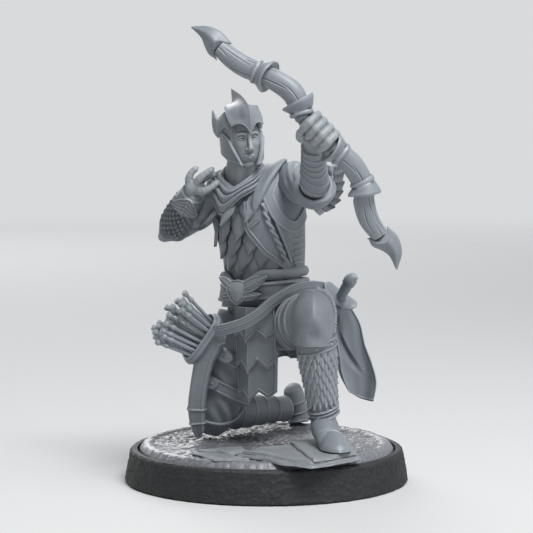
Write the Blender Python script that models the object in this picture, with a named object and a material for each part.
"""Kneeling archer gaming figure on a 25 mm round base, as a resin kit of separate parts.

Every part is one closed solid. Shapes are worked out in millimetres in the figure's own frame, whose
origin is the top of the ground disc under the archer, and are placed in metres at the end.
The archer faces -Y, +X is the viewer's right and +Z is up.
"""

from math import atan2, cos, pi, radians, sin

import bmesh
import bpy
from mathutils import Matrix, Vector

MM = 0.001

# Fits, mm
GLUE_GAP = 0.2
PEG_DIAMETER = 1.3
PEG_LENGTH = 1.2

# Base, mm
BASE_DIAMETER = 25.0
BASE_TAPER = 0.45
BASE_HEIGHT = 2.9
BASE_EDGE_BEVEL = 0.2
RIM_WIDTH = 0.85
DISC_THICKNESS = 1.4
DISC_PROUD = 0.4
SLAB_THICKNESS = 0.8
SLAB_LIFT = 0.1
LOW_SLAB_THICKNESS = 0.35

# Body, mm: radii are half the width of the limb at that joint
THIGH_RADIUS = 2.3
KNEE_RADIUS = 2.05
SHIN_RADIUS = 1.5
ANKLE_RADIUS = 1.3
UPPER_ARM_RADIUS = 1.6
FOREARM_RADIUS = 1.15
WRIST_RADIUS = 0.9
FINGER_RADIUS = 0.36
WAIST_HALF_WIDTH = 3.2
WAIST_HALF_DEPTH = 2.6
CUIRASS_TUCK = 0.15
CHEST_HALF_WIDTH = 3.7
CHEST_HALF_DEPTH = 2.8
NECK_RADIUS = 0.95
HEAD_HALF_WIDTH = 1.22
HEAD_HALF_DEPTH = 1.8
HEAD_HEIGHT = 4.6

# Armour and clothing, mm: thickness of each layer over what it covers
HELMET_WALL = 0.25
CREST_THICKNESS = 0.3
FIN_THICKNESS = 0.6
SURCOAT_THICKNESS = 0.35
COWL_THICKNESS = 0.6
ARMHOLE_EASE = 0.45
SKIRT_THICKNESS = 0.5
SKIRT_LENGTH = 6.2
SKIRT_FOLDS = 9
FOLD_DEPTH = 0.35
TAIL_FOLD_WIDTH = 1.5
BELT_THICKNESS = 0.55
BELT_HEIGHT = 1.5
BELT_BULGE = 0.15
BELT_ROLL_HEIGHT = 0.9
BELT_ROLL_BULGE = 0.25
STRAP_THICKNESS = 0.3
STRAP_WIDTH = 1.1
COP_THICKNESS = 0.45
TABARD_THICKNESS = 0.45
TABARD_KEEL = 0.7
TABARD_NOTCH = 0.75
TABARD_STAND_OFF = 0.55
SLEEVE_ROLL_HEIGHT = 1.1
SLEEVE_ROLL_THICKNESS = 0.84
SLEEVE_ROLL_EASE = 1.04
SASH_HEIGHT = 1.15
SASH_THICKNESS = 0.5

# Gear, mm
BOW_LIMB_WIDTH = 1.75
BOW_LIMB_DEPTH = 1.3
BOW_GRIP_DIAMETER = 1.1
BOW_COLLAR_WALL = 0.3
BOW_COLLAR_LENGTH = 0.9
QUIVER_HALF_WIDTH = 1.0
QUIVER_WALL = 0.35
ARROW_DIAMETER = 0.36
ARROW_COUNT = 14
SWORD_GRIP_DIAMETER = 0.75
POMMEL_DIAMETER = 1.15
SCABBARD_LENGTH = 9.0
SCABBARD_HALF_WIDTH = 0.75

# Levels, turns and diameters that follow from the sizes above
GROUND = BASE_HEIGHT + DISC_PROUD
BASE_TOP_DIAMETER = BASE_DIAMETER - 2 * BASE_TAPER
DISC_DIAMETER = BASE_TOP_DIAMETER - 2 * RIM_WIDTH
BOOT_SOLE = SLAB_THICKNESS + SLAB_LIFT + GLUE_GAP
BODY_TURN = radians(-20)
BODY_SIDE = Vector((cos(BODY_TURN), sin(BODY_TURN), 0))
HEAD_TURN = radians(18)
HEAD_LEAN = radians(-4)

# Joints of the archer's body, mm above the ground disc. L and R are the archer's own left and right.
WAIST = Vector((-0.2, 1.5, 13.1))
NECK = Vector((-2.1, 1.2, 22.9))
HIP_R = Vector((-2.2, 2.2, 11.0))
KNEE_R = Vector((-4.6, 2.1, KNEE_RADIUS + GLUE_GAP))
ANKLE_R = Vector((1.7, 8.7, ANKLE_RADIUS + 0.35))
HIP_L = Vector((0.9, 1.6, 9.8))
KNEE_L = Vector((4.2, -6.1, 11.5))
ANKLE_L = Vector((5.0, -5.5, SLAB_THICKNESS + GLUE_GAP + 2.1))
SHOULDER_L = Vector((2.2, 0.9, 23.1))
ELBOW_L = Vector((4.1, -5.0, 22.4))
WRIST_L = Vector((3.85, -9.7, 25.6))
SHOULDER_R = Vector((-4.0, 2.4, 21.7))
ELBOW_R = Vector((-9.0, 4.5, 18.2))
WRIST_R = Vector((-6.9, 1.3, 21.3))
GRIP = Vector((4.0, -12.5, 27.3))
GRIP_AXIS = Vector((0.70, 0.04, -0.71)).normalized()


# Shape tools: each returns a bmesh in millimetres


def ring(bm, centre, normal, side, half_width, half_depth, sides):
    """One closed loop of edges across the path, wider along side."""
    z = Vector(normal).normalized()
    x = (Vector(side) - z * z.dot(Vector(side))).normalized()
    y = z.cross(x)
    frame = Matrix((x * half_width, y * half_depth, z)).transposed().to_4x4()
    frame.translation = centre
    made = bmesh.ops.create_circle(bm, segments=sides, radius=1.0, matrix=frame)
    return list({edge for vert in made["verts"] for edge in vert.link_edges})


def loft(stations, sides=12, side=(1, 0, 0), grow=0.0, normals=None):
    """A solid through rings at stations of (point, half width, half depth), all of it grown outwards."""
    points = [Vector(s[0]) for s in stations]
    last = len(points) - 1
    bm = bmesh.new()
    loops = []
    for i, (point, half_width, half_depth) in enumerate(stations):
        along = points[min(i + 1, last)] - points[max(i - 1, 0)]
        if normals and normals[i]:
            along = Vector(normals[i])
        along.normalize()
        shift = grow if i == last else -grow if i == 0 else 0.0
        centre = Vector(point) + along * shift
        loops.append(ring(bm, centre, along, side, half_width + grow, half_depth + grow, sides))
    for lower, upper in zip(loops, loops[1:]):
        bmesh.ops.bridge_loops(bm, edges=lower + upper)
    bmesh.ops.holes_fill(bm, edges=bm.edges, sides=0)
    bmesh.ops.recalc_face_normals(bm, faces=bm.faces)
    return bm


def limb(start, end, profile, sides=12, side=(1, 0, 0), grow=0.0):
    """A loft from one joint towards another: profile rows are (share of the way, half width, half depth)."""
    stations = [(start.lerp(end, share), wide, deep) for share, wide, deep in profile]
    return loft(stations, sides, side, grow)


def hoop(points, half_height, half_thickness, sides=8, up=(0, 0, 1), grow=0.0):
    """A closed band that follows a loop of points."""
    bm = bmesh.new()
    count = len(points)
    loops = []
    for i, point in enumerate(points):
        along = points[(i + 1) % count] - points[i - 1]
        loops.append(ring(bm, point, along, up, half_height + grow, half_thickness + grow, sides))
    for i in range(count):
        bmesh.ops.bridge_loops(bm, edges=loops[i] + loops[(i + 1) % count])
    bmesh.ops.recalc_face_normals(bm, faces=bm.faces)
    return bm


def band(points, half_height, half_thickness, sides=8, up=(0, 0, 1), grow=0.0):
    """An open strap that follows a line of points."""
    stations = [(p, half_height, half_thickness) for p in points]
    return loft(stations, sides, up, grow)


def turned(profile, segments=32):
    """A solid of revolution about Z from a profile of (radius, height), bottom to top."""
    bm = bmesh.new()
    verts = [bm.verts.new((radius, 0, height)) for radius, height in profile]
    edges = [bm.edges.new(pair) for pair in zip(verts, verts[1:])]
    bmesh.ops.spin(
        bm, geom=verts + edges, cent=(0, 0, 0), axis=(0, 0, 1), angle=2 * pi, steps=segments, use_merge=True
    )
    bmesh.ops.remove_doubles(bm, verts=bm.verts, dist=1e-4)
    bmesh.ops.recalc_face_normals(bm, faces=bm.faces)
    return bm


def rod(start, end, radius, sides=10, grow=0.0):
    """A straight round bar between two points."""
    start, end = Vector(start), Vector(end)
    return loft([(start, radius, radius), (end, radius, radius)], sides, (0.3, 0.2, 0.9), grow)


def ball(centre, half_size, detail=2):
    """A smooth lump with its own half size on each axis."""
    bm = bmesh.new()
    frame = Matrix.Translation(centre) @ Matrix.Diagonal((*half_size, 1.0))
    bmesh.ops.create_icosphere(bm, subdivisions=detail, radius=1.0, matrix=frame)
    return bm


def box(low, high):
    """A block between two corners."""
    low, high = Vector(low), Vector(high)
    size = high - low
    bm = bmesh.new()
    frame = Matrix.Translation((low + high) / 2) @ Matrix.Diagonal((*size, 1.0))
    bmesh.ops.create_cube(bm, size=1.0, matrix=frame)
    return bm


def everything_above(level):
    """A block wider and higher than the figure, from one level up."""
    wide = BASE_DIAMETER
    return box((-wide, -wide, level), (wide, wide, level + 2 * wide))


def plate(outline, thickness):
    """A flat plate in the XZ plane, from an outline of (x, z), centred on Y."""
    bm = bmesh.new()
    face = bm.faces.new([bm.verts.new((x, -thickness / 2, z)) for x, z in outline])
    made = bmesh.ops.extrude_face_region(bm, geom=[face])
    moved = [item for item in made["geom"] if isinstance(item, bmesh.types.BMVert)]
    bmesh.ops.translate(bm, verts=moved, vec=(0, thickness, 0))
    bmesh.ops.recalc_face_normals(bm, faces=bm.faces)
    return bm


def moved(bm, matrix):
    """The shape after a turn or a shift."""
    bmesh.ops.transform(bm, matrix=matrix, verts=bm.verts)
    return bm


def as_object(bm, name="tool"):
    """The shape as a scene object, and the bmesh freed."""
    mesh = bpy.data.meshes.new(name)
    bm.to_mesh(mesh)
    bm.free()
    made = bpy.data.objects.new(name, mesh)
    bpy.context.scene.collection.objects.link(made)
    return made


def combined(bm, others, operation):
    """The shape joined with, cut by or clipped to the other shapes, as its largest single body."""
    for shape in (bm, *others):
        bmesh.ops.triangulate(shape, faces=shape.faces)
    target = as_object(bm)
    tools = [as_object(other) for other in others]
    for tool in tools:
        modifier = target.modifiers.new(operation, "BOOLEAN")
        modifier.operation = operation
        modifier.solver = "EXACT"
        modifier.object = tool
        tool.hide_render = True
        tool.display_type = "WIRE"
    bpy.context.view_layer.update()
    result = bmesh.new()
    result.from_object(target, bpy.context.evaluated_depsgraph_get())
    for used in [target, *tools]:
        bpy.data.objects.remove(used)
    return largest_body(result)


def largest_body(bm):
    """The shape without the loose crumbs that a cut leaves."""
    bmesh.ops.remove_doubles(bm, verts=bm.verts, dist=1e-4)
    bmesh.ops.dissolve_degenerate(bm, edges=bm.edges, dist=1e-4)
    bmesh.ops.dissolve_limit(bm, angle_limit=radians(0.4), verts=bm.verts, edges=bm.edges)
    left = set(bm.faces)
    bodies = []
    while left:
        body, edge_of_body = set(), [left.pop()]
        while edge_of_body:
            face = edge_of_body.pop()
            body.add(face)
            near = {f for e in face.edges for f in e.link_faces} & left
            left -= near
            edge_of_body.extend(near)
        bodies.append(body)
    keep = max(bodies, key=lambda body: sum(f.calc_area() for f in body))
    bmesh.ops.delete(bm, geom=[f for f in bm.faces if f not in keep], context="FACES")
    return bm


def carve(bm, *cutters):
    return combined(bm, cutters, "DIFFERENCE")


def fuse(bm, *others):
    return combined(bm, others, "UNION")


def clip(bm, keep):
    return combined(bm, [keep], "INTERSECT")


# Placing: each part hangs on the figure or the base, with its origin where it is glued


def resin(name, colour, roughness):
    """A cast resin finish."""
    material = bpy.data.materials.new(name)
    material.use_nodes = True
    shader = material.node_tree.nodes["Principled BSDF"]
    shader.inputs["Base Color"].default_value = (*colour, 1.0)
    shader.inputs["Roughness"].default_value = roughness
    shader.inputs["Metallic"].default_value = 0.0
    return material


FIGURE_GREY = (0.26, 0.29, 0.31)
BASE_GREY = (0.055, 0.058, 0.058)
GROUND_GREY = (0.17, 0.18, 0.19)


def place(name, bm, seat, parent, colour=FIGURE_GREY, roughness=0.5):
    """A finished part: its mesh in metres about its seat, hung on its parent."""
    seat = Vector(seat)
    bmesh.ops.transform(bm, matrix=Matrix.Scale(MM, 4) @ Matrix.Translation(-seat), verts=bm.verts)
    made = as_object(bm, name)
    made.data.shade_smooth()
    made.data.set_sharp_from_angle(angle=radians(35))
    made.data.materials.append(resin(f"{name}_resin", colour, roughness))
    made.parent = parent
    made.location = seat * MM
    return made


# Base: a tapered puck with a recess, the ground disc glued in it and two slabs of slate


def ground_pegs(grow=0.0):
    """The pegs under the kneeling knee and the front boot."""
    deep = Vector((0, 0, -PEG_LENGTH))
    knee = Vector((KNEE_R.x, KNEE_R.y, 0))
    boot = Vector((ANKLE_L.x + 0.3, ANKLE_L.y - 2.0, SLAB_THICKNESS))
    radius = PEG_DIAMETER / 2
    lift = Vector((0, 0, 1.0))
    slab_peg = Vector((0, 0, -SLAB_THICKNESS * 0.7))
    return {
        "knee": rod(knee + deep * 0.7, knee + lift, radius, grow=grow),
        "boot": rod(boot + slab_peg, boot + lift, radius, grow=grow),
    }


def base_puck():
    outer, top = BASE_DIAMETER / 2, BASE_TOP_DIAMETER / 2
    recess = DISC_DIAMETER / 2 + GLUE_GAP
    floor = GROUND - DISC_THICKNESS - GLUE_GAP
    profile = [
        (0.0, 0.0),
        (outer - BASE_EDGE_BEVEL, 0.0),
        (outer, BASE_EDGE_BEVEL),
        (top, BASE_HEIGHT - BASE_EDGE_BEVEL),
        (top - BASE_EDGE_BEVEL, BASE_HEIGHT),
        (recess, BASE_HEIGHT),
        (recess, floor),
        (0.0, floor),
    ]
    return moved(turned(profile, 48), Matrix.Translation((0, 0, -GROUND)))


def ground_disc():
    radius = DISC_DIAMETER / 2
    profile = [
        (0.0, -DISC_THICKNESS),
        (radius, -DISC_THICKNESS),
        (radius, -DISC_PROUD * 0.6),
        (radius - DISC_PROUD, 0.0),
        (0.0, 0.0),
    ]
    return carve(turned(profile, 40), ground_pegs(GLUE_GAP)["knee"])


def slab(outline, thickness, level, tilt_edge):
    """A slate slab: a flat plate with its edge chamfered, lying on the level given."""
    bm = plate(outline, thickness)
    moved(bm, Matrix.Rotation(radians(90), 4, "X"))
    moved(bm, Matrix.Diagonal((1, -1, 1, 1)))
    bmesh.ops.recalc_face_normals(bm, faces=bm.faces)
    under = [v for v in bm.verts if v.co.z < 0]
    centre = sum((v.co for v in bm.verts), Vector()) / len(bm.verts)
    for vert in under:
        vert.co.xy = vert.co.xy.lerp(centre.xy, tilt_edge)
        if vert.co.xy.length > BASE_TOP_DIAMETER / 2 + GLUE_GAP:
            vert.co.z -= thickness
    return moved(bm, Matrix.Translation((0, 0, level + thickness / 2)))


HIGH_SLAB_OUTLINE = [
    (-2.6, -7.8), (-1.2, -6.0), (1.6, -4.6), (2.4, -3.6), (5.6, -3.4), (7.4, -5.4),
    (7.9, -9.4), (6.0, -11.6), (3.7, -13.4), (1.4, -12.0), (-0.6, -9.6),
]
LOW_SLAB_OUTLINE = [
    (-6.4, -6.4), (-4.2, -5.2), (-1.6, -4.6), (-0.6, -6.4), (-3.0, -7.8), (-0.9, -10.4), (-4.4, -10.2),
]


def high_slab():
    """The slab that takes the front boot and hangs over the rim."""
    over_base = rod((0, 0, -GROUND), (0, 0, SLAB_LIFT), BASE_DIAMETER / 2 + GLUE_GAP, 48)
    stone = slab(HIGH_SLAB_OUTLINE, SLAB_THICKNESS, SLAB_LIFT, 0.10)
    return carve(stone, ground_pegs(GLUE_GAP)["boot"], over_base)


def low_slab():
    """The thin chip beside it, cut clear of the larger slab."""
    larger = slab(HIGH_SLAB_OUTLINE, 5 * SLAB_THICKNESS, -2 * SLAB_THICKNESS, -0.06)
    return carve(slab(LOW_SLAB_OUTLINE, LOW_SLAB_THICKNESS, SLAB_LIFT, 0.05), larger)


# Legs


def pelvis(grow=0.0):
    stations = [
        (Vector((-0.5, 1.6, WAIST.z - 4.2)), 1.3, 1.4),
        (Vector((-0.4, 1.5, WAIST.z - 3.0)), WAIST_HALF_WIDTH - 0.6, WAIST_HALF_DEPTH - 0.3),
        (Vector((-0.3, 1.5, WAIST.z - 1.4)), WAIST_HALF_WIDTH, WAIST_HALF_DEPTH),
        (WAIST - Vector((0, 0, GLUE_GAP)), WAIST_HALF_WIDTH, WAIST_HALF_DEPTH),
    ]
    return loft(stations, 14, BODY_SIDE, grow, [(0, 0, 1)] * len(stations))


def torso_peg(grow=0.0):
    return rod(WAIST + Vector((0, 0, 0.6)), WAIST - Vector((0, 0, PEG_LENGTH)), PEG_DIAMETER * 0.7, grow=grow)


def right_thigh(grow=0.0):
    return limb(
        HIP_R, KNEE_R,
        [
            (0.0, THIGH_RADIUS - 0.2, THIGH_RADIUS),
            (0.3, THIGH_RADIUS + 0.1, THIGH_RADIUS + 0.2),
            (0.65, THIGH_RADIUS + 0.1, THIGH_RADIUS + 0.1),
            (0.92, KNEE_RADIUS + 0.1, KNEE_RADIUS + 0.2),
            (1.1, KNEE_RADIUS * 0.8, KNEE_RADIUS * 0.85),
            (1.0 + (KNEE_RADIUS - 0.05) / (HIP_R - KNEE_R).length, KNEE_RADIUS * 0.4, KNEE_RADIUS * 0.45),
        ],
        14, (1, 0, 0), grow,
    )


def right_shin(grow=0.0):
    return limb(
        KNEE_R + Vector((0.6, 1.4, -0.15)), ANKLE_R,
        [
            (0.0, SHIN_RADIUS, SHIN_RADIUS), (0.25, SHIN_RADIUS + 0.1, SHIN_RADIUS + 0.1),
            (0.7, ANKLE_RADIUS, ANKLE_RADIUS), (1.0, ANKLE_RADIUS - 0.1, ANKLE_RADIUS - 0.1),
        ],
        12, (0, 0, 1), grow,
    )


def right_boot(grow=0.0):
    stations = [
        (ANKLE_R + Vector((0.7, 0.5, 2.0)), 0.75, 0.85),
        (ANKLE_R + Vector((0.9, 0.8, 0.9)), 0.95, 1.15),
        (ANKLE_R + Vector((1.2, 1.1, -0.5)), 0.95, 1.1),
        (Vector((ANKLE_R.x + 1.3, ANKLE_R.y + 1.0, GLUE_GAP)), 0.9, 1.1),
    ]
    return loft(stations, 10, (1, -0.4, 0), grow)


def left_thigh(grow=0.0):
    return limb(
        HIP_L, KNEE_L,
        [
            (0.0, THIGH_RADIUS - 0.4, THIGH_RADIUS - 0.4), (0.35, THIGH_RADIUS - 0.25, THIGH_RADIUS - 0.25),
            (0.75, THIGH_RADIUS - 0.1, THIGH_RADIUS - 0.1), (0.96, KNEE_RADIUS * 0.92, KNEE_RADIUS * 0.92),
            (1.08, KNEE_RADIUS * 0.6, KNEE_RADIUS * 0.6),
        ],
        14, (1, 0, 0), grow,
    )


def left_greave(grow=0.0):
    top = KNEE_L + Vector((0.15, -0.1, -KNEE_RADIUS * 0.75))
    return limb(
        top, ANKLE_L,
        [
            (0.0, KNEE_RADIUS - 0.15, KNEE_RADIUS - 0.05), (0.25, SHIN_RADIUS + 0.3, SHIN_RADIUS + 0.4),
            (0.6, SHIN_RADIUS, SHIN_RADIUS + 0.1), (1.0, ANKLE_RADIUS, ANKLE_RADIUS + 0.1),
        ],
        14, (1, 0, 0), grow,
    )


def left_boot(grow=0.0):
    low = Vector((ANKLE_L.x, ANKLE_L.y, BOOT_SOLE))
    stations = [
        (low + Vector((-0.35, 1.35, 0.9)), 0.6, 0.75),
        (low + Vector((-0.2, 0.6, 1.25)), 1.05, 1.25),
        (low + Vector((0.0, -0.8, 1.2)), 1.15, 1.2),
        (low + Vector((0.3, -2.6, 0.9)), 1.25, 0.9),
        (low + Vector((0.6, -4.2, 0.7)), 1.2, 0.7),
        (low + Vector((0.75, -5.2, 0.55)), 0.6, 0.5),
    ]
    return clip(loft(stations, 12, (1, 0, 0), grow), everything_above(BOOT_SOLE - grow))


def left_knee_cop():
    """A domed plate over the knee, open below where the greave starts."""
    centre = KNEE_L + Vector((0.05, -0.55, 0.15))
    reach = KNEE_RADIUS + COP_THICKNESS
    dome = ball(centre, (reach, reach + 0.1, reach), 2)
    behind = box(KNEE_L + Vector((-9, 0.2, -9)), KNEE_L + Vector((9, 9, 9)))
    below = box(KNEE_L + Vector((-9, -9, -9)), KNEE_L + Vector((9, 9, 0.05 - KNEE_RADIUS * 0.75)))
    return carve(dome, left_thigh(GLUE_GAP), left_greave(GLUE_GAP), behind, below)


def strap_round(covered, centre, half_width, half_depth, height, tilt=Matrix(), side=(1, 0, 0)):
    """A strap of one thickness round a limb that it is cut to fit."""
    half = Vector((0, 0, height / 2))
    outer = loft(
        [(-half, half_width + STRAP_THICKNESS, half_depth + STRAP_THICKNESS),
         (half, half_width + STRAP_THICKNESS, half_depth + STRAP_THICKNESS)],
        14, side,
    )
    moved(outer, Matrix.Translation(centre) @ tilt)
    return carve(outer, *covered)


def left_knee_strap():
    centre = KNEE_L + Vector((0.2, -0.12, -KNEE_RADIUS * 0.75 - STRAP_WIDTH * 0.62))
    wide = KNEE_RADIUS + GLUE_GAP
    return strap_round([left_greave(GLUE_GAP), left_thigh(GLUE_GAP)], centre, wide, wide + 0.1, STRAP_WIDTH)


def left_ankle_band():
    centre = ANKLE_L + Vector((0, 0.05, 0.75))
    wide = ANKLE_RADIUS + GLUE_GAP
    covered = [left_greave(GLUE_GAP), left_boot(GLUE_GAP)]
    return strap_round(covered, centre, wide, wide + 0.15, STRAP_WIDTH * 0.8)


def left_toe_plate():
    """The pointed plate over the toes."""
    low = Vector((ANKLE_L.x, ANKLE_L.y, BOOT_SOLE))
    stations = [
        (low + Vector((0.2, -2.0, 0.95)), 1.75, 1.6),
        (low + Vector((0.55, -3.9, 0.7)), 1.75, 1.3),
        (low + Vector((0.8, -5.6, 0.5)), 1.15, 1.0),
    ]
    cap = clip(loft(stations, 12, (1, 0, 0)), everything_above(BOOT_SOLE))
    return carve(cap, left_boot(GLUE_GAP))


UPPER_STRAP = 0.42
LOWER_STRAP = 0.72


def thigh_strap(share, lean):
    """A buckled strap round the kneeling thigh."""
    centre = HIP_R.lerp(KNEE_R, share)
    wide = THIGH_RADIUS + 0.2 + GLUE_GAP
    axis = (HIP_R - KNEE_R).to_track_quat("Z", "X").to_matrix().to_4x4()
    tilt = Matrix.Rotation(lean, 4, "Y") @ axis
    return strap_round([right_thigh(GLUE_GAP)], centre, wide, wide + 0.1, STRAP_WIDTH, tilt)


# Torso and clothing


def torso(grow=0.0):
    """The cuirass, with the shoulders tipped up towards the bow arm."""
    stations = [
        (WAIST, WAIST_HALF_WIDTH, WAIST_HALF_DEPTH - CUIRASS_TUCK),
        (WAIST + Vector((0.0, -0.1, 2.2)), WAIST_HALF_WIDTH - 0.05, WAIST_HALF_DEPTH - 0.2),
        (WAIST + Vector((-0.2, -0.2, 4.4)), (WAIST_HALF_WIDTH + CHEST_HALF_WIDTH) / 2, CHEST_HALF_DEPTH - 0.1),
        (WAIST + Vector((-0.5, -0.3, 6.4)), CHEST_HALF_WIDTH, CHEST_HALF_DEPTH),
        (WAIST + Vector((-0.8, -0.1, 8.3)), CHEST_HALF_WIDTH - 0.1, CHEST_HALF_DEPTH - 0.2),
        (WAIST + Vector((-1.1, 0.1, 9.6)), CHEST_HALF_WIDTH - 0.9, CHEST_HALF_DEPTH - 0.7),
        (NECK + Vector((0.2, 0.3, 0.5)), NECK_RADIUS + 0.55, NECK_RADIUS + 0.5),
    ]
    normals = [(0, 0, 1)] * 4 + [(-0.12, 0, 0.99), (-0.24, 0, 0.97), (-0.2, -0.1, 0.97)]
    return loft(stations, 16, BODY_SIDE, grow, normals)


def arm_pegs(grow=0.0):
    """The pegs that fix each arm in its socket in the torso."""
    radius = PEG_DIAMETER / 2
    inwards_left = Vector((-0.9, 0.3, -0.3)).normalized() * (PEG_LENGTH + 1.2)
    inwards_right = Vector((0.8, -0.3, -0.75)).normalized() * (PEG_LENGTH + 1.0)
    return {
        "left": rod(SHOULDER_L, SHOULDER_L + inwards_left, radius, 8, grow),
        "right": rod(SHOULDER_R, SHOULDER_R + inwards_right, radius, 8, grow),
    }


def torso_core():
    sockets = arm_pegs(GLUE_GAP)
    joined = fuse(torso(), torso_peg())
    return carve(joined, neck_plug(GLUE_GAP), sockets["left"], sockets["right"])


COAT_HEM = 2.3
COAT_OPENING = (
    (-5.0, 10.0), (-4.2, 15.0), (-4.4, 19.0), (-5.6, 21.0), (-5.2, 30.0), (-1.5, 30.0),
    (-1.8, 21.5), (-1.5, 19.2), (0.1, 17.4), (1.6, 16.0), (2.4, 14.0), (3.0, 10.0),
)


def surcoat():
    """The sleeveless coat over the cuirass, open down the archer's right front and at both arms."""
    shell = clip(torso(GLUE_GAP + SURCOAT_THICKNESS), everything_above(WAIST.z + COAT_HEM))
    opening = plate(COAT_OPENING, 12)
    moved(opening, Matrix.Translation((0, -5.2, 0)))
    return carve(
        shell, torso(GLUE_GAP), opening, left_upper_arm(ARMHOLE_EASE), right_upper_arm(ARMHOLE_EASE),
        arm_pegs(ARMHOLE_EASE)["left"], arm_pegs(ARMHOLE_EASE)["right"], cowl_drape(GLUE_GAP * 1.3),
    )


def waist_loop(half_width, half_depth, level, count=24, lift=0.25):
    """Points round the waist, a little higher on the archer's left hip."""
    across = Vector((-BODY_SIDE.y, BODY_SIDE.x, 0))
    return [
        WAIST + BODY_SIDE * half_width * cos(2 * pi * i / count) + across * half_depth * sin(2 * pi * i / count)
        + Vector((0, 0, level + lift * cos(2 * pi * i / count)))
        for i in range(count)
    ]


def belt(grow=0.0):
    half_thick = (BELT_THICKNESS + GLUE_GAP) / 2
    loop = waist_loop(WAIST_HALF_WIDTH + half_thick, WAIST_HALF_DEPTH + half_thick, 0.0)
    strip = hoop(loop, BELT_HEIGHT / 2, half_thick + BELT_BULGE, 8, grow=grow)
    return carve(strip, torso(GLUE_GAP), pelvis(GLUE_GAP))


def belt_roll():
    half_thick = (BELT_THICKNESS + GLUE_GAP) / 2
    level = BELT_HEIGHT / 2 + BELT_ROLL_HEIGHT / 2 + GLUE_GAP
    loop = waist_loop(WAIST_HALF_WIDTH + half_thick, WAIST_HALF_DEPTH - CUIRASS_TUCK + half_thick, level)
    return carve(hoop(loop, BELT_ROLL_HEIGHT / 2, half_thick + BELT_ROLL_BULGE, 8), torso(GLUE_GAP))


def front_of_body(across, ahead, height):
    """A point in front of the waist, measured along the archer's own left and front."""
    ahead_way = Vector((BODY_SIDE.y, -BODY_SIDE.x, 0))
    return WAIST + BODY_SIDE * across + ahead_way * ahead + Vector((0, 0, height))


def buckle():
    """A domed shield with a point below, over the belt's front."""
    outline = [(-0.95, 0.7), (-0.35, 1.05), (0.35, 1.05), (0.95, 0.7), (1.0, -0.2), (0.0, -1.25), (-1.0, -0.2)]
    shield = plate(outline, 0.9)
    front = [f for f in shield.faces if f.normal.y < -0.9]
    bmesh.ops.inset_region(shield, faces=front, thickness=0.3, depth=0.15)
    turn = Matrix.Rotation(BODY_TURN, 4, "Z")
    ahead = WAIST_HALF_DEPTH + BELT_THICKNESS + BELT_BULGE + GLUE_GAP * 2.6
    moved(shield, Matrix.Translation(front_of_body(-1.1, ahead, 0.15)) @ turn)
    return carve(shield, belt(GLUE_GAP))


TABARD_TIERS = (
    (-1.0, -3.5, 1.9, 1.9),
    (-3.1, -6.1, 1.85, 1.95),
    (-5.7, -8.4, 1.75, 1.5),
)


def tabard_tier(index):
    """One of the overlapping keeled plates that hang from the belt, with its swallow-tailed lower edge."""
    top, bottom, half_top, half_bottom = TABARD_TIERS[index]
    quarter, notch = half_bottom / 2, bottom + TABARD_NOTCH
    if index < 2:
        edge = [(quarter, notch), (0.0, bottom - GLUE_GAP), (-quarter, notch)]
    else:
        edge = [(quarter, bottom - TABARD_NOTCH), (0.0, notch), (-quarter, bottom - TABARD_NOTCH)]
    outline = [(-half_top, top), (half_top, top), (half_bottom, bottom), *edge, (-half_bottom, bottom)]
    sheet = plate(outline, TABARD_THICKNESS)
    bmesh.ops.bisect_plane(
        sheet, geom=sheet.verts[:] + sheet.edges[:] + sheet.faces[:], plane_co=(0, 0, 0), plane_no=(1, 0, 0)
    )
    for vert in sheet.verts:
        vert.co.y += TABARD_KEEL * abs(vert.co.x) / half_top
    lean = Matrix.Rotation(radians(-3.0), 4, "X")
    layers = 2 - index
    ahead = WAIST_HALF_DEPTH + BELT_THICKNESS + TABARD_STAND_OFF + (TABARD_THICKNESS + GLUE_GAP) * layers * 0.75
    turn = Matrix.Rotation(BODY_TURN, 4, "Z")
    moved(sheet, Matrix.Translation(front_of_body(0.6, ahead, 0.0)) @ turn @ lean)
    return sheet


SASH_ROUTE = (
    (-3.3, -3.2, 9.9), (-2.0, -3.9, 10.1), (-0.5, -4.3, 10.9), (0.7, -3.9, 12.0), (1.9, -2.8, 13.1),
    (3.2, -1.2, 13.45), (4.3, 0.3, 13.5),
)


def sash(grow=0.0):
    points = [Vector(p) for p in SASH_ROUTE]
    return band(points, SASH_HEIGHT / 2, SASH_THICKNESS / 2, 8, (0, -0.15, 1), grow)


def skirt_flare(inset):
    """The coat's flared lower half as a solid, with deeper folds towards its hem."""
    top = WAIST.z - BELT_HEIGHT / 2 - GLUE_GAP * 3
    middle, hem = top - SKIRT_LENGTH * 0.5, top - SKIRT_LENGTH
    flare = loft(
        [
            (Vector((-0.2, 1.5, top + inset)), WAIST_HALF_WIDTH + 0.5 - inset, 3.1 - inset),
            (Vector((0.0, 1.9, middle)), 4.0 - inset, 3.6 - inset),
            (Vector((0.4, 2.6, hem - inset)), 4.4 - inset, 4.2 - inset),
        ],
        36, BODY_SIDE,
    )
    for vert in flare.verts:
        across = vert.co.xy - Vector((0.1, 2.0))
        depth = FOLD_DEPTH * (top - vert.co.z) / SKIRT_LENGTH
        across.length += depth * cos(SKIRT_FOLDS * atan2(across.y, across.x))
        vert.co.xy = across + Vector((0.1, 2.0))
    return flare


def rear_skirt():
    """The coat's tails behind the legs: half of a flared, folded shell, hung from the belt."""
    front = box((-BASE_DIAMETER, -BASE_DIAMETER, 0), (BASE_DIAMETER, HIP_R.y, WAIST.z))
    return carve(
        skirt_flare(0.0), skirt_flare(SKIRT_THICKNESS), front, right_thigh(GLUE_GAP), left_thigh(GLUE_GAP),
        pelvis(GLUE_GAP), right_shin(GLUE_GAP), thigh_strap_zone(UPPER_STRAP),
    )


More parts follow.
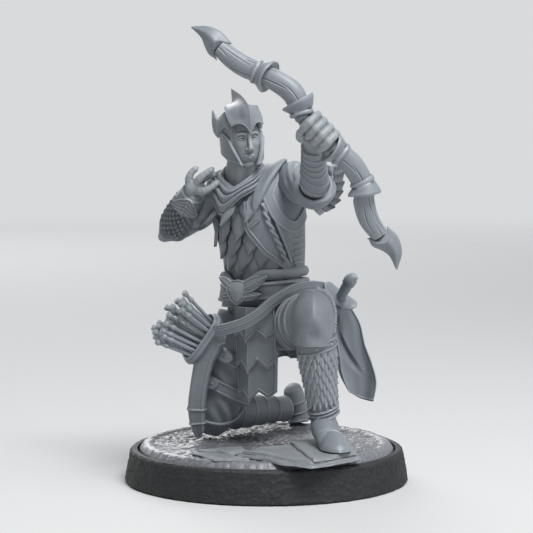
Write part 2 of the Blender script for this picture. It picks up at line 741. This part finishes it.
TAIL_ROUTE = (
    ((5.6, 2.7, 12.5), 0.8, 0.35), ((6.6, 2.9, 11.4), 1.3, 0.42), ((7.6, 3.2, 9.2), 1.6, 0.5),
    ((8.2, 3.4, 6.8), 1.7, 0.55), ((8.8, 3.6, 4.8), 1.3, 0.5), ((9.3, 3.7, 3.3), 0.45, 0.3),
)


def coat_tail():
    """A long corner of the coat that swings out behind the raised leg, in folds that run down it."""
    stations = [(Vector(point), wide, thick) for point, wide, thick in TAIL_ROUTE]
    tail = loft(stations, 24, (1, 0, 0.25))
    highest, lowest = stations[0][0].z, stations[-1][0].z
    for vert in tail.verts:
        share = (highest - vert.co.z) / (highest - lowest)
        vert.co.y += FOLD_DEPTH * max(0.0, share) * sin(2 * pi * (vert.co.x - 0.25 * share) / TAIL_FOLD_WIDTH)
    return tail


COWL_OUTLINE = (
    (-5.6, 22.2), (-4.7, 20.8), (-3.6, 19.2), (-2.0, 20.9), (-1.2, 20.3), (0.2, 22.6), (1.6, 24.0), (1.4, 26.0),
    (-5.6, 26.0),
)


def cowl_drape(drop=0.0):
    """Everything above the scarf's lower edge, which comes to a point on the archer's right breast."""
    return plate([(x, z - drop) for x, z in COWL_OUTLINE], 14)


def cowl_outer():
    """The scarf's lower fold, lying on the chest and shoulders."""
    fold = clip(torso(GLUE_GAP + COWL_THICKNESS), cowl_drape())
    return carve(
        fold, torso(GLUE_GAP), left_upper_arm(GLUE_GAP), right_upper_arm(GLUE_GAP), head_core(GLUE_GAP),
        neck_plug(GLUE_GAP), moved(helmet_shape(GLUE_GAP), head_frame()),
    )


def cowl_inner():
    """The scarf's upper roll, close round the neck."""
    count = 18
    turns = [2 * pi * i / count for i in range(count)]
    loop = [NECK + Vector((1.75 * cos(turn), 1.75 * sin(turn) + 0.2, 1.2 + 0.5 * sin(turn))) for turn in turns]
    return carve(
        hoop(loop, 0.6, 0.5, 8), torso(2 * GLUE_GAP + COWL_THICKNESS), head_core(GLUE_GAP),
        moved(helmet_shape(GLUE_GAP), head_frame()),
    )


# Arms


def left_upper_arm(grow=0.0):
    return limb(
        SHOULDER_L, ELBOW_L,
        [
            (-0.12, UPPER_ARM_RADIUS * 0.8, UPPER_ARM_RADIUS * 0.85),
            (0.1, UPPER_ARM_RADIUS + 0.15, UPPER_ARM_RADIUS + 0.15),
            (0.6, UPPER_ARM_RADIUS, UPPER_ARM_RADIUS), (0.95, UPPER_ARM_RADIUS - 0.2, UPPER_ARM_RADIUS - 0.2),
        ],
        14, (1, 0, 0), grow,
    )


def left_forearm(grow=0.0):
    return limb(
        ELBOW_L, WRIST_L,
        [
            (-0.12, FOREARM_RADIUS, FOREARM_RADIUS), (0.3, FOREARM_RADIUS, FOREARM_RADIUS),
            (1.0, WRIST_RADIUS, WRIST_RADIUS),
        ],
        12, (1, 0, 0), grow,
    )


def left_sleeve_cuff():
    """The rolled sleeve above the elbow."""
    way = (WRIST_L - ELBOW_L).normalized()
    side = way.cross(Vector((0, 0, 1))).normalized()
    lift = side.cross(way)
    count = 18
    turns = [2 * pi * i / count for i in range(count)]
    centre = ELBOW_L + way * SLEEVE_ROLL_HEIGHT * 0.3
    reach = UPPER_ARM_RADIUS * SLEEVE_ROLL_EASE
    loop = [centre + (side * cos(turn) + lift * sin(turn)) * reach for turn in turns]
    roll = hoop(loop, SLEEVE_ROLL_HEIGHT / 2, SLEEVE_ROLL_THICKNESS / 2, 8, way)
    return carve(roll, left_upper_arm(GLUE_GAP), left_forearm(GLUE_GAP))


def left_arm_guard():
    """A curved scale-covered plate outside the elbow."""
    stations = [
        (ELBOW_L + Vector((0.2, 1.6, -1.9)), 1.0, 0.45),
        (ELBOW_L + Vector((1.3, 1.5, -0.9)), 1.3, 0.5),
        (ELBOW_L + Vector((1.75, 1.3, 0.6)), 1.3, 0.5),
        (ELBOW_L + Vector((1.6, 1.1, 2.2)), 0.9, 0.4),
    ]
    return carve(
        loft(stations, 10, (0.3, 1, 0.1)), left_upper_arm(GLUE_GAP), left_forearm(GLUE_GAP), cuff_zone()
    )


def cuff_zone():
    """The space that the rolled sleeve takes up."""
    way = (WRIST_L - ELBOW_L).normalized()
    reach = UPPER_ARM_RADIUS * SLEEVE_ROLL_EASE + SLEEVE_ROLL_THICKNESS / 2 + GLUE_GAP
    half = SLEEVE_ROLL_HEIGHT / 2 + GLUE_GAP
    centre = ELBOW_L + way * SLEEVE_ROLL_HEIGHT * 0.3
    return rod(centre - way * half, centre + way * half, reach, 16)


def finger(points, radius, grow=0.0):
    """One bent finger with a rounded tip."""
    stations = [(Vector(p), radius, radius) for p in points]
    tip = Vector(points[-1]) + (Vector(points[-1]) - Vector(points[-2])).normalized() * radius * 0.8
    stations.append((tip, radius * 0.55, radius * 0.55))
    return loft(stations, 7, (0.2, 0.3, 0.9), grow)


def left_hand():
    """A fist closed round the bow's grip."""
    up = Vector((0.71, 0.0, 0.70))
    ahead = Vector((0, -1, 0))
    knuckle, reach = BOW_GRIP_DIAMETER / 2 + GLUE_GAP + FINGER_RADIUS, 0.75
    palm = loft(
        [
            (WRIST_L + (GRIP - WRIST_L) * 0.12, WRIST_RADIUS, WRIST_RADIUS * 0.85),
            (GRIP + Vector((0.1, 1.5, -0.55)), 1.25, 0.95),
            (GRIP + Vector((0.3, 0.75, 0.1)), 1.35, 0.9),
        ],
        12, GRIP_AXIS,
    )
    fingers = []
    for i in range(4):
        root = GRIP + GRIP_AXIS * (-0.98 + 0.66 * i)
        bend = [up * 0.95 - ahead * 0.55, up * 0.95 + ahead * 0.35, ahead + up * 0.25, ahead * 0.75 - up * 0.7]
        fingers.append(finger([root + step * (knuckle + 0.15) for step in bend], FINGER_RADIUS))
    thumb = finger(
        [GRIP + GRIP_AXIS * -0.3 - up * 0.9 - ahead * 0.8, GRIP + GRIP_AXIS * -0.6 - up * 1.1 - ahead * 0.1,
         GRIP + GRIP_AXIS * -1.0 - up * reach + ahead * 0.6],
        FINGER_RADIUS,
    )
    fist = fuse(palm, *fingers, thumb)
    collars = [bow_collar(index, GLUE_GAP) for index in (1, 2)]
    return carve(fist, bow_grip(GLUE_GAP), left_forearm(GLUE_GAP), *collars)


def right_upper_arm(grow=0.0):
    return limb(
        SHOULDER_R, ELBOW_R,
        [
            (-0.1, UPPER_ARM_RADIUS * 0.85, UPPER_ARM_RADIUS * 0.85),
            (0.15, UPPER_ARM_RADIUS, UPPER_ARM_RADIUS),
            (0.75, UPPER_ARM_RADIUS - 0.25, UPPER_ARM_RADIUS - 0.25),
            (0.95, UPPER_ARM_RADIUS - 0.4, UPPER_ARM_RADIUS - 0.4),
        ],
        14, (0, 0, 1), grow,
    )


def right_vambrace(grow=0.0):
    return limb(
        ELBOW_R, WRIST_R,
        [
            (-0.22, 0.5, 0.5), (0.0, FOREARM_RADIUS + 0.35, FOREARM_RADIUS + 0.35),
            (0.4, FOREARM_RADIUS + 0.45, FOREARM_RADIUS + 0.35),
            (0.78, FOREARM_RADIUS + 0.15, FOREARM_RADIUS + 0.1),
        ],
        14, (0, 0, 1), grow,
    )


def right_cuff(grow=0.0):
    """The flared gauntlet cuff at the wrist."""
    return limb(
        ELBOW_R, WRIST_R,
        [
            (0.82, FOREARM_RADIUS + 0.35, FOREARM_RADIUS + 0.3),
            (0.92, FOREARM_RADIUS + 0.4, FOREARM_RADIUS + 0.35),
            (1.12, WRIST_RADIUS + 0.15, WRIST_RADIUS + 0.1),
        ],
        14, (0, 0, 1), grow,
    )


RIGHT_FINGERS = (
    ((-6.9, 0.5, 22.5), (-7.0, 0.3, 23.5), (-6.6, 0.4, 24.2)),
    ((-6.5, 0.2, 22.8), (-5.9, 0.0, 23.5), (-5.3, 0.2, 24.0)),
    ((-6.3, 0.7, 22.9), (-5.6, 0.8, 23.3), (-5.0, 1.0, 23.4)),
    ((-6.2, 0.1, 22.3), (-5.5, -0.2, 22.3), (-4.8, 0.0, 22.8)),
)


def right_hand():
    """The open drawing hand, just off the string."""
    palm = loft(
        [
            (WRIST_R + Vector((0.15, -0.2, 0.25)), WRIST_RADIUS * 0.85, WRIST_RADIUS * 0.7),
            (Vector((-6.45, 0.55, 22.3)), 0.95, 0.6), (Vector((-6.3, 0.4, 22.95)), 0.85, 0.5),
        ],
        10, (0.7, 0, 0.7),
    )
    fingers = [finger(points, FINGER_RADIUS) for points in RIGHT_FINGERS]
    return carve(fuse(palm, *fingers), right_cuff(GLUE_GAP))


# Head and helmet, worked out about the neck and then turned


def head_frame():
    return Matrix.Translation(NECK) @ Matrix.Rotation(HEAD_TURN, 4, "Z") @ Matrix.Rotation(HEAD_LEAN, 4, "Y")


def neck_plug(grow=0.0):
    return moved(rod((0, 0.15, -PEG_LENGTH), (0, 0, 0.8), NECK_RADIUS, 12, grow), head_frame())


def head_shape(grow=0.0):
    chin = 1.5
    levels = [
        (0.0, -0.75, 0.55, 0.72), (0.12, -0.8, 0.78, 0.9), (0.4, -0.75, 0.98, 1.0),
        (0.62, -0.7, 1.02, 1.02), (0.85, -0.6, 0.86, 0.86), (1.0, -0.55, 0.5, 0.52),
    ]
    stations = [
        (Vector((0, back, chin + share * HEAD_HEIGHT)), HEAD_HALF_WIDTH * wide, HEAD_HALF_DEPTH * deep)
        for share, back, wide, deep in levels
    ]
    return loft(stations, 14, (1, 0, 0), grow, [(0, 0, 1)] * len(levels))


def head_core(grow=0.0):
    """Head, neck and plug without the nose, for clearances."""
    neck = rod((0, 0.1, -0.2), (0, -0.45, 2.6), NECK_RADIUS, 12, grow)
    return moved(fuse(head_shape(grow), neck), head_frame())


def head():
    """Head and neck in one casting, with a plain nose, brow and chin under the helmet."""
    neck = rod((0, 0.15, -PEG_LENGTH), (0, -0.45, 2.6), NECK_RADIUS, 12)
    front = -0.75 - HEAD_HALF_DEPTH
    nose = loft(
        [
            (Vector((0, front + 0.25, 4.1)), 0.18, 0.25), (Vector((0, front + 0.02, 3.3)), 0.24, 0.3),
            (Vector((0, front + 0.15, 3.05)), 0.32, 0.25),
        ],
        8, (1, 0, 0),
    )
    return moved(fuse(head_shape(), neck, nose), head_frame())


def helmet_shape(grow=0.0):
    """The outside of the helmet with its cheek guards, before it is hollowed and opened."""
    reach = GLUE_GAP + HELMET_WALL + grow
    levels = [
        (1.45 - grow, -0.95, 0.82, 0.86), (2.6, -0.8, 0.98, 1.0), (3.9, -0.72, 1.03, 1.04),
        (5.1, -0.68, 1.02, 1.02), (6.0, -0.62, 0.86, 0.88), (6.5 + grow, -0.58, 0.5, 0.52),
    ]
    stations = [
        (Vector((0, back, up)), HEAD_HALF_WIDTH * wide + reach, HEAD_HALF_DEPTH * deep + reach)
        for up, back, wide, deep in levels
    ]
    return loft(stations, 16, (1, 0, 0), 0.0, [(0, 0, 1)] * len(levels))


BROW = 3.45
CHEEK_SPLIT = 3.3
BROW_OUTLINE = (
    (0.0, 2.85), (0.35, 3.45), (0.8, 3.95), (1.3, 3.85), (2.3, 3.3), (2.6, 6.0), (1.75, 6.3), (1.1, 6.15),
    (0.5, 6.6), (0.0, 7.4), (-0.5, 6.6), (-1.1, 6.15), (-1.75, 6.3), (-2.6, 6.0), (-2.3, 3.3), (-1.3, 3.85),
    (-0.8, 3.95), (-0.35, 3.45),
)
WING_OUTLINE = ((-0.5, 4.3), (0.6, 3.7), (1.8, 4.6), (1.95, 6.5), (1.25, 5.5), (0.2, 5.3))
FIN_OUTLINE = ((-3.0, 5.6), (-2.4, 6.7), (-0.8, 7.3), (1.2, 8.2), (1.0, 7.1), (0.4, 6.4), (-1.6, 5.4))


def face_opening():
    """Two eye arches that leave a nasal between them, and the gap between the cheek guards."""
    arches = [rod((x, -6, BROW), (x, -1.2, BROW), 0.68, 14) for x in (-0.78, 0.78)]
    gap = plate([(-0.62, 0.5), (0.62, 0.5), (1.2, 3.0), (1.35, BROW), (-1.35, BROW), (-1.2, 3.0)], 4.6)
    moved(gap, Matrix.Translation((0, -3.6, 0)))
    return [gap, *arches]


def upright(outline, thickness, across=0.0):
    """A plate along the head, from an outline of (back, up)."""
    turn = Matrix.Rotation(radians(90), 4, "Z")
    return moved(plate(outline, thickness), Matrix.Translation((across, 0, 0)) @ turn)


def helmet():
    """The bowl, open below, with a swept wing on each side."""
    bowl = clip(helmet_shape(), box((-9, -9, CHEEK_SPLIT), (9, 9, 20)))
    wings = [carve(upright(WING_OUTLINE, 0.45, side * 1.7), brow_front()) for side in (-1, 1)]
    joined = fuse(bowl, *wings)
    return moved(carve(joined, head_shape(GLUE_GAP), *face_opening()), head_frame())


def cheek_guard(side):
    """The long plate beside the jaw."""
    inner, outer = sorted((side * 0.2, side * 9))
    flank = clip(helmet_shape(), box((inner, -9, 0.5), (outer, -0.55, CHEEK_SPLIT - GLUE_GAP)))
    return moved(carve(flank, head_shape(GLUE_GAP), *face_opening()), head_frame())


def brow_front():
    """The space in front of the ears that the brow plate may fill."""
    return moved(plate(BROW_OUTLINE, 6.0), Matrix.Translation((0, -4.0, 0)))


def crest():
    """The brow plate with its pointed nasal, brow arches and rising fin, glued over the bowl."""
    shell = clip(helmet_shape(GLUE_GAP + CREST_THICKNESS), brow_front())
    joined = fuse(shell, upright(FIN_OUTLINE, FIN_THICKNESS))
    return moved(carve(joined, helmet_shape(GLUE_GAP), head_shape(GLUE_GAP)), head_frame())


# Bow: two recurved limbs that meet the grip in the fist, ringed by collars and ended by leaf-shaped nocks

UPPER_LIMB = (
    (2.85, -12.4, 28.65), (2.7, -12.3, 29.4), (2.05, -12.1, 30.6), (0.8, -11.8, 31.5), (-0.3, -11.4, 32.05),
    (-1.7, -10.9, 32.65), (-2.8, -10.6, 33.35), (-3.8, -10.3, 34.2),
)
LOWER_LIMB = (
    (5.1, -12.4, 26.15), (5.8, -12.2, 25.75), (6.95, -12.0, 24.7), (7.75, -11.6, 23.4), (8.0, -11.4, 22.5),
    (7.95, -11.2, 21.75), (8.4, -10.9, 20.2), (9.3, -10.5, 18.9),
)
UPPER_TIP = ((-3.95, -10.25, 34.35), (-4.45, -10.1, 35.0), (-5.1, -9.85, 35.55), (-6.15, -9.6, 35.95))
LOWER_TIP = ((9.4, -10.45, 18.75), (10.15, -10.25, 18.2), (10.65, -10.1, 17.3), (10.75, -9.9, 16.05))
LIMB_SWELL = (0.86, 0.92, 1.0, 0.95, 0.9, 0.94, 0.9, 0.74)
BOW_FACE = (0.0, 1.0, 0.0)


def bow_limb(route, grow=0.0):
    stations = [
        (Vector(point), BOW_LIMB_DEPTH / 2 * swell, BOW_LIMB_WIDTH / 2 * swell)
        for point, swell in zip(route, LIMB_SWELL)
    ]
    return loft(stations, 12, BOW_FACE, grow)


def bow_grip(grow=0.0):
    ends = Vector(UPPER_LIMB[0]), Vector(LOWER_LIMB[0])
    way = (ends[1] - ends[0]).normalized()
    radius = BOW_GRIP_DIAMETER / 2
    inset = way * GLUE_GAP * 2.5
    return rod(ends[0] + inset, ends[1] - inset, radius, 12, grow)


def collar_at(index):
    """Centre and direction of one collar, numbered down the bow."""
    route, place_on = ((UPPER_LIMB, 4), (UPPER_LIMB, 0), (LOWER_LIMB, 0), (LOWER_LIMB, 4))[index]
    before, after = route[max(place_on - 1, 0)], route[place_on + 1]
    way = (Vector(after) - Vector(before)).normalized()
    centre = Vector(route[place_on])
    if place_on == 0:
        centre += way * BOW_COLLAR_LENGTH * 0.62
    return centre, way


def bow_collar(index, grow=0.0):
    """A flared ring round the limb."""
    centre, way = collar_at(index)
    half = BOW_COLLAR_LENGTH / 2
    wide = BOW_LIMB_WIDTH / 2 + GLUE_GAP + BOW_COLLAR_WALL
    deep = BOW_LIMB_DEPTH / 2 + GLUE_GAP + BOW_COLLAR_WALL
    flares = ((-half, 0.92), (0.0, 1.0), (half, 0.9))
    stations = [(centre + way * along, deep * flare, wide * flare) for along, flare in flares]
    return loft(stations, 12, BOW_FACE, grow)


def bow_collar_ring(index):
    route = UPPER_LIMB if index < 2 else LOWER_LIMB
    return carve(bow_collar(index), bow_limb(route, GLUE_GAP))


def bow_nock(route):
    """The hooked leaf at the end of a limb."""
    wide = BOW_LIMB_WIDTH / 2
    leaf = ((0.4, wide * 0.74), (0.4, wide * 0.95), (0.32, wide * 0.66), (0.1, 0.12))
    return loft([(Vector(point), *half) for point, half in zip(route, leaf)], 10, BOW_FACE)


# Quiver and arrows

QUIVER_ROUTE = (
    ((-5.9, -0.75, 0.7), 0.4, 0.35), ((-6.3, -0.85, 2.2), 0.75, 0.75), ((-6.35, -0.95, 4.0), 0.85, 0.85),
    ((-6.1, -1.05, 5.8), 0.9, 0.9), ((-5.7, -1.15, 7.3), 1.1, 1.0),
)
MOUTH = Vector((-5.6, -1.3, 9.3))
MOUTH_WAY = Vector((-0.78, -0.35, 0.54)).normalized()
MOUTH_LONG = Vector((0.57, 0.0, 0.82)).normalized()
MOUTH_HALF_LENGTH = 2.1
MOUTH_HALF_DEPTH = 1.15


def quiver_shape():
    stations = [
        (Vector(point), wide * QUIVER_HALF_WIDTH, deep * QUIVER_HALF_WIDTH)
        for point, wide, deep in QUIVER_ROUTE
    ]
    stations.append((MOUTH - MOUTH_WAY * 0.4, MOUTH_HALF_LENGTH, MOUTH_HALF_DEPTH))
    normals = [None] * (len(QUIVER_ROUTE) - 1) + [(-0.25, 0, 0.97), MOUTH_WAY]
    return loft(stations, 14, MOUTH_LONG, 0.0, normals)


def quiver_well():
    """The hollow under the mouth that takes the arrows' plug."""
    inner = MOUTH_HALF_LENGTH - QUIVER_WALL, MOUTH_HALF_DEPTH - QUIVER_WALL
    return loft(
        [
            (MOUTH - MOUTH_WAY * 1.5, inner[0] * 0.6, inner[1] * 0.7), (MOUTH + MOUTH_WAY * 1.0, *inner),
        ],
        14, MOUTH_LONG,
    )


def quiver_body():
    straps = [thigh_strap_zone(share) for share in (UPPER_STRAP, LOWER_STRAP)]
    return carve(quiver_shape(), quiver_well(), right_thigh(GLUE_GAP), *straps)


def thigh_strap_zone(share):
    """The space a thigh strap takes up."""
    centre = HIP_R.lerp(KNEE_R, share)
    axis = (HIP_R - KNEE_R).to_track_quat("Z", "X").to_matrix().to_4x4()
    wide = THIGH_RADIUS + 0.2 + STRAP_THICKNESS + GLUE_GAP * 2
    half = Vector((0, 0, STRAP_WIDTH))
    sleeve = loft([(-half, wide, wide + 0.1), (half, wide, wide + 0.1)], 14)
    return moved(sleeve, Matrix.Translation(centre) @ axis)


def quiver_rim():
    """The raised lip round the mouth."""
    outer = MOUTH_HALF_LENGTH + 0.3, MOUTH_HALF_DEPTH + 0.3
    lip = loft(
        [
            (MOUTH - MOUTH_WAY * (0.4 - GLUE_GAP), *outer),
            (MOUTH + MOUTH_WAY * 0.35, outer[0] + 0.1, outer[1] + 0.1),
        ],
        18, MOUTH_LONG,
    )
    return carve(lip, quiver_well(), right_thigh(GLUE_GAP))


def arrow_bundle():
    """A sheaf of fletched arrows fanned out from one plug."""
    plug_depth = 1.25
    inner = MOUTH_HALF_LENGTH - QUIVER_WALL - GLUE_GAP, MOUTH_HALF_DEPTH - QUIVER_WALL - GLUE_GAP
    plug = loft(
        [
            (MOUTH - MOUTH_WAY * plug_depth, inner[0] * 0.6, inner[1] * 0.7),
            (MOUTH - MOUTH_WAY * 0.35, inner[0] * 0.9, inner[1] * 0.93),
        ],
        14, MOUTH_LONG,
    )
    across = MOUTH_WAY.cross(MOUTH_LONG).normalized()
    shafts = []
    for i in range(ARROW_COUNT):
        row, step = divmod(i, ARROW_COUNT // 2)
        share = (step + 0.5 + 0.25 * row) / (ARROW_COUNT // 2) * 2 - 1.1
        foot = MOUTH + MOUTH_LONG * share * 0.7 + across * (row - 0.5) * 0.5 - MOUTH_WAY * 0.5
        way = (MOUTH_WAY + MOUTH_LONG * share * 0.35).normalized()
        length = 4.4 + 0.5 * cos(2.4 * i)
        tip = foot + way * length
        shafts.append(rod(foot, tip, ARROW_DIAMETER / 2, 5))
        side = way.cross(Vector((0, 0, 1))).normalized()
        vane = [foot + way * (length - 1.6), foot + way * (length - 0.6)]
        shafts.append(band(vane, 0.45, 0.09, 4, side))
    return fuse(plug, *shafts)


# Sword at the left hip

SWORD_WAY = Vector((-0.30, 0.70, -0.65)).normalized()
HILT = Vector((6.5, 1.4, 12.6))


def sword_grip():
    return rod(HILT - SWORD_WAY * (0.25 + GLUE_GAP), HILT - SWORD_WAY * 2.2, SWORD_GRIP_DIAMETER / 2, 10)


def sword_pommel():
    centre = HILT - SWORD_WAY * (2.2 + GLUE_GAP + POMMEL_DIAMETER * 0.45)
    knob = ball(centre, (POMMEL_DIAMETER / 2,) * 3, 2)
    return carve(knob, rod(HILT, HILT - SWORD_WAY * (2.2 + GLUE_GAP), SWORD_GRIP_DIAMETER / 2 + GLUE_GAP, 10))


def sword_guard():
    """A crescent guard with its horns towards the grip."""
    across = Vector((0.80, -0.02, -0.45)).normalized()
    crescent = ((-1.5, 0.45, 0.3), (-0.8, 0.08, 0.6), (0.0, 0.0, 0.7), (0.8, 0.08, 0.6), (1.5, 0.45, 0.3))
    stations = [(HILT + across * reach - SWORD_WAY * curl, wide, 0.24) for reach, curl, wide in crescent]
    return loft(stations, 10, SWORD_WAY.cross(across))


def scabbard(grow=0.0):
    start = HILT + SWORD_WAY * (0.3 + GLUE_GAP)
    end = start + SWORD_WAY * SCABBARD_LENGTH
    wide = SCABBARD_HALF_WIDTH
    profile = [(0.0, wide, 0.4), (0.75, wide * 0.85, 0.36), (0.95, wide * 0.6, 0.3), (1.0, wide * 0.3, 0.2)]
    return limb(start, end, profile, 10, (0, 0.6, 0.7), grow)


HANGER_ROUTE = ((3.6, 1.9, 12.75), (4.6, 2.2, 12.45), (5.5, 2.25, 12.1), (6.2, 2.1, 11.9))


def hanger(grow=0.0):
    """The short strap that carries the scabbard on the belt."""
    return band([Vector(p) for p in HANGER_ROUTE], STRAP_WIDTH / 2, STRAP_THICKNESS, 8, (0, 0, 1), grow)


# Assembly: parts that lie over others are cut to fit them with the glue gap


def build():
    for old in list(bpy.data.objects):
        bpy.data.objects.remove(old)
    figure = bpy.data.objects.new("figure_on_ground", None)
    bpy.context.scene.collection.objects.link(figure)
    figure.location = (0, 0, GROUND * MM)

    ground = (0, 0, -GROUND)
    place("base_puck", base_puck(), ground, figure, BASE_GREY, 0.7)
    place("ground_disc", ground_disc(), (0, 0, -DISC_THICKNESS), figure, GROUND_GREY, 0.35)
    place("slate_slab", high_slab(), (*HIGH_SLAB_OUTLINE[0], 0), figure, FIGURE_GREY, 0.55)
    place("slate_chip", low_slab(), (*LOW_SLAB_OUTLINE[0], 0), figure, FIGURE_GREY, 0.55)

    pegs = ground_pegs()
    place("pelvis", carve(pelvis(), torso_peg(GLUE_GAP)), WAIST, figure)
    leg = fuse(carve(right_thigh(), pelvis(GLUE_GAP)), pegs["knee"])
    place("right_thigh", leg, HIP_R, figure)
    place("right_shin", carve(right_shin(), right_thigh(GLUE_GAP)), KNEE_R, figure)
    place("right_boot", carve(right_boot(), right_shin(GLUE_GAP)), ANKLE_R, figure)
    place("left_thigh", carve(left_thigh(), pelvis(GLUE_GAP), right_thigh(GLUE_GAP)), HIP_L, figure)
    boot_socket = left_boot(GLUE_GAP)
    place("left_greave", carve(left_greave(), left_thigh(GLUE_GAP), boot_socket), KNEE_L, figure)
    place("left_boot", fuse(left_boot(), pegs["boot"]), ANKLE_L, figure)
    place("left_toe_plate", left_toe_plate(), ANKLE_L, figure)
    place("left_knee_cop", left_knee_cop(), KNEE_L, figure)
    place("left_knee_strap", left_knee_strap(), KNEE_L, figure)
    place("left_ankle_band", left_ankle_band(), ANKLE_L, figure)

    place("torso", torso_core(), WAIST, figure)
    place("surcoat", surcoat(), WAIST, figure)
    place("belt", belt(), WAIST, figure)
    place("belt_roll", belt_roll(), WAIST, figure)
    place("belt_buckle", buckle(), WAIST, figure)
    for index, name in enumerate(("tabard_top", "tabard_middle", "tabard_hem")):
        tier = carve(tabard_tier(index), pelvis(GLUE_GAP), left_thigh(GLUE_GAP), right_thigh(GLUE_GAP))
        place(name, tier, WAIST, figure)
    place("sash", carve(sash(), left_thigh(GLUE_GAP), pelvis(GLUE_GAP), belt(GLUE_GAP)), WAIST, figure)
    place("rear_skirt", rear_skirt(), WAIST, figure)
    tail = carve(coat_tail(), belt(GLUE_GAP), skirt_flare(-GLUE_GAP), scabbard(GLUE_GAP), hanger(GLUE_GAP))
    place("coat_tail", tail, WAIST, figure)
    place("cowl_outer", cowl_outer(), NECK, figure)
    place("cowl_inner", cowl_inner(), NECK, figure)

    arm = carve(left_upper_arm(), torso(GLUE_GAP))
    place("left_upper_arm", fuse(arm, arm_pegs()["left"]), SHOULDER_L, figure)
    place("left_forearm", carve(left_forearm(), left_upper_arm(GLUE_GAP)), ELBOW_L, figure)
    place("left_sleeve_cuff", left_sleeve_cuff(), ELBOW_L, figure)
    place("left_arm_guard", left_arm_guard(), ELBOW_L, figure)
    place("left_hand", left_hand(), WRIST_L, figure)
    arm = carve(right_upper_arm(), torso(GLUE_GAP))
    place("right_upper_arm", fuse(arm, arm_pegs()["right"]), SHOULDER_R, figure)
    place("right_vambrace", carve(right_vambrace(), right_upper_arm(GLUE_GAP)), ELBOW_R, figure)
    cuff = carve(right_cuff(), right_vambrace(GLUE_GAP), right_upper_arm(GLUE_GAP))
    place("right_cuff", cuff, WRIST_R, figure)
    place("right_hand", right_hand(), WRIST_R, figure)

    place("head", head(), NECK, figure)
    place("helmet", helmet(), NECK, figure)
    place("helmet_crest", crest(), NECK, figure)
    place("right_cheek_guard", cheek_guard(-1), NECK, figure)
    place("left_cheek_guard", cheek_guard(1), NECK, figure)

    place("bow_grip", bow_grip(), GRIP, figure)
    place("bow_upper_limb", bow_limb(UPPER_LIMB), UPPER_LIMB[0], figure)
    place("bow_lower_limb", bow_limb(LOWER_LIMB), LOWER_LIMB[0], figure)
    for index, name in enumerate(("upper_outer", "upper_inner", "lower_inner", "lower_outer")):
        place(f"bow_collar_{name}", bow_collar_ring(index), collar_at(index)[0], figure)
    place("bow_upper_nock", carve(bow_nock(UPPER_TIP), bow_limb(UPPER_LIMB, GLUE_GAP)), UPPER_TIP[0], figure)
    place("bow_lower_nock", carve(bow_nock(LOWER_TIP), bow_limb(LOWER_LIMB, GLUE_GAP)), LOWER_TIP[0], figure)

    place("thigh_strap_upper", thigh_strap(UPPER_STRAP, 0.12), HIP_R, figure)
    place("thigh_strap_lower", thigh_strap(LOWER_STRAP, 0.12), HIP_R, figure)
    place("quiver_body", quiver_body(), MOUTH, figure)
    place("quiver_rim", quiver_rim(), MOUTH, figure)
    place("arrow_bundle", arrow_bundle(), MOUTH, figure)
    place("sword_grip", sword_grip(), HILT, figure)
    place("sword_pommel", sword_pommel(), HILT, figure)
    place("sword_guard", sword_guard(), HILT, figure)
    hung = carve(fuse(scabbard(), hanger()), belt(GLUE_GAP), pelvis(GLUE_GAP), skirt_flare(-GLUE_GAP))
    place("scabbard", hung, HILT, figure)


build()
